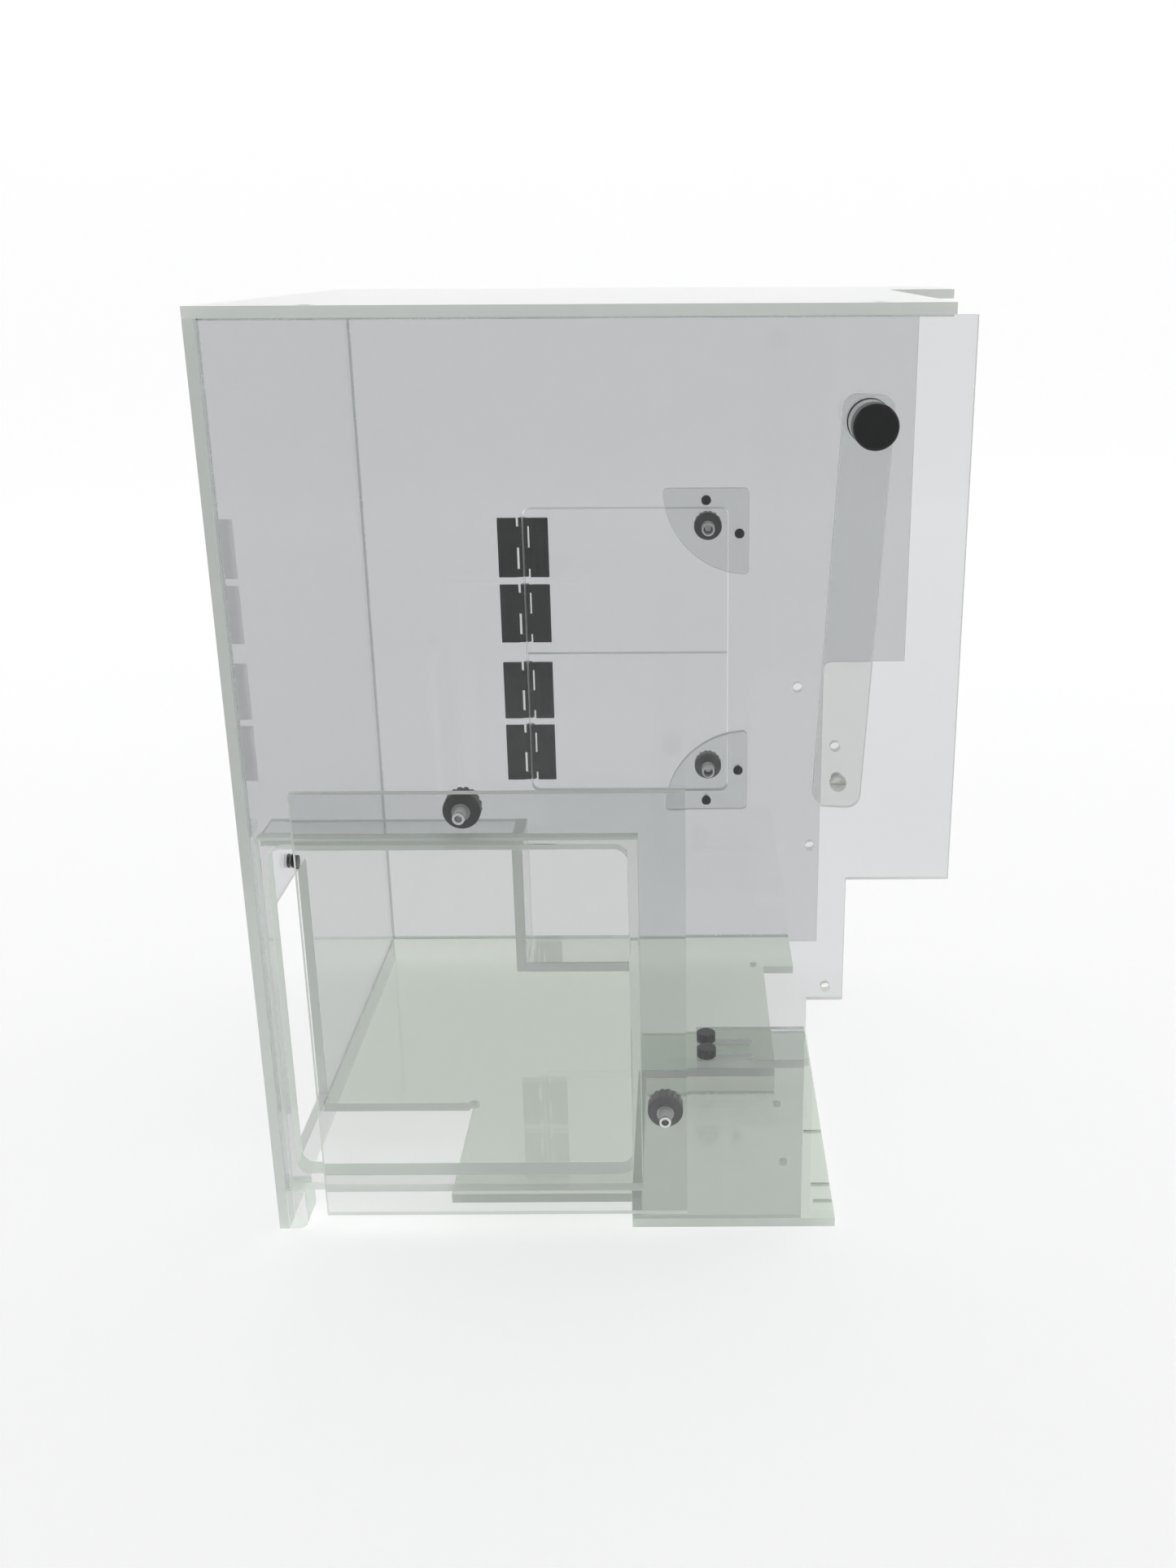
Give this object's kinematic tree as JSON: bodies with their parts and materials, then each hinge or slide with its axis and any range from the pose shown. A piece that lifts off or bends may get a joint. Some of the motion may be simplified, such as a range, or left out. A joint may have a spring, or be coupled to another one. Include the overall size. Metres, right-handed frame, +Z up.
{
  "type": "microscope incubation enclosure",
  "caption": "Clear acrylic enclosure half for an inverted microscope, with two hinged access doors, a lift-off cover, a swing arm and a sliding plate",
  "frame": {"origin": "middle of the whole object's footprint, at the level of its feet", "axes": "+Z up, +X towards the open side away from the side panel, +Y from the back panel with the window towards the front panel with the two small doors"},
  "size_m": [0.4352, 0.4269, 0.545],
  "materials": {
    "clear_acrylic": "clear cast acrylic sheet with polished edges",
    "black_nylon": "moulded black nylon",
    "black_plastic": "moulded black plastic, satin",
    "black_steel": "blackened steel screws",
    "turned_aluminium": "turned aluminium",
    "clear_nylon": "natural translucent nylon"
  },
  "bodies": {
    "box_frame": {"top_panel": "clear_acrylic", "side_panel": "clear_acrylic", "front_panel": "clear_acrylic", "back_panel": "clear_acrylic", "floor_panel": "clear_acrylic", "lower_floor": "clear_acrylic", "side_riser": "clear_acrylic", "cross_riser": "clear_acrylic", "corner_foot": "clear_acrylic", "window_frame": "clear_acrylic", "ledge_plate": "clear_acrylic", "duct_wall": "clear_acrylic", "duct_shelf": "clear_acrylic", "upper_keeper": "clear_acrylic", "lower_keeper": "clear_acrylic", "keeper_bushings": "turned_aluminium", "keeper_screws": "black_steel", "frame_hinge_leaves": "black_nylon", "hinge_pins": "turned_aluminium", "vent_plug": "black_plastic", "arm_pivot_screw": "clear_nylon"},
    "upper_door": {"upper_door": "clear_acrylic", "upper_door_leaves": "black_nylon"},
    "lower_door": {"lower_door": "clear_acrylic", "lower_door_leaves": "black_nylon"},
    "upper_latch": {"upper_door_knob": "black_plastic", "upper_door_stud": "turned_aluminium"},
    "lower_latch": {"lower_door_knob": "black_plastic", "lower_door_stud": "turned_aluminium"},
    "top_cover_latch": {"top_cover_knob": "black_plastic", "top_cover_stud": "turned_aluminium"},
    "side_cover_latch": {"side_cover_knob": "black_plastic", "side_cover_stud": "turned_aluminium"},
    "access_cover": {"access_cover": "clear_acrylic"},
    "swing_arm": {"swing_arm": "clear_acrylic"},
    "arm_knob": {"arm_knob_base": "black_plastic", "arm_knob_grip": "turned_aluminium", "arm_knob_cap": "black_plastic"},
    "slide_plate": {"slide_plate": "clear_acrylic"},
    "near_slide_screw": {"near_slide_screw": "black_plastic"},
    "far_slide_screw": {"far_slide_screw": "black_plastic"}
  },
  "joints": [
    {"name": "upper_door_hinge", "type": "hinge", "parent": "box_frame", "child": "upper_door", "pos_m": [-0.0889, 0.20695, 0.327], "axis": [0, 0, 1], "range_deg": [0, 170]},
    {"name": "lower_door_hinge", "type": "hinge", "parent": "box_frame", "child": "lower_door", "pos_m": [-0.0889, 0.20695, 0.213], "axis": [0, 0, 1], "range_deg": [0, 170]},
    {"name": "upper_latch_turn", "type": "hinge", "parent": "upper_door", "child": "upper_latch", "pos_m": [0.0541, 0.20515, 0.37], "axis": [0, 1, 0], "continuous": true},
    {"name": "lower_latch_turn", "type": "hinge", "parent": "lower_door", "child": "lower_latch", "pos_m": [0.0541, 0.20515, 0.1755], "axis": [0, 1, 0], "continuous": true},
    {"name": "top_cover_latch_turn", "type": "hinge", "parent": "box_frame", "child": "top_cover_latch", "pos_m": [-0.0904, -0.17185, 0.273], "axis": [0, 1, 0], "continuous": true},
    {"name": "side_cover_latch_turn", "type": "hinge", "parent": "box_frame", "child": "side_cover_latch", "pos_m": [0.0226, -0.17185, 0.079], "axis": [0, 1, 0], "continuous": true},
    {"name": "cover_lift_off", "type": "slide", "parent": "box_frame", "child": "access_cover", "axis": [0, -1, 0], "range_m": [0, 0.04]},
    {"name": "arm_swing", "type": "hinge", "parent": "box_frame", "child": "swing_arm", "pos_m": [0.1196, -0.17785, 0.293], "axis": [0, 1, 0], "range_deg": [-75, 85]},
    {"name": "arm_knob_turn", "type": "hinge", "parent": "swing_arm", "child": "arm_knob", "pos_m": [0.13015, -0.18485, 0.48772], "axis": [0, 1, 0], "continuous": true},
    {"name": "plate_slide", "type": "slide", "parent": "box_frame", "child": "slide_plate", "axis": [-1, 0, 0], "range_m": [0, 0.03]},
    {"name": "near_screw_turn", "type": "hinge", "parent": "box_frame", "child": "near_slide_screw", "pos_m": [0.0496, -0.01785, 0.03], "axis": [0, 0, 1], "continuous": true},
    {"name": "far_screw_turn", "type": "hinge", "parent": "box_frame", "child": "far_slide_screw", "pos_m": [0.0496, 0.00415, 0.03], "axis": [0, 0, 1], "continuous": true}
  ]
}
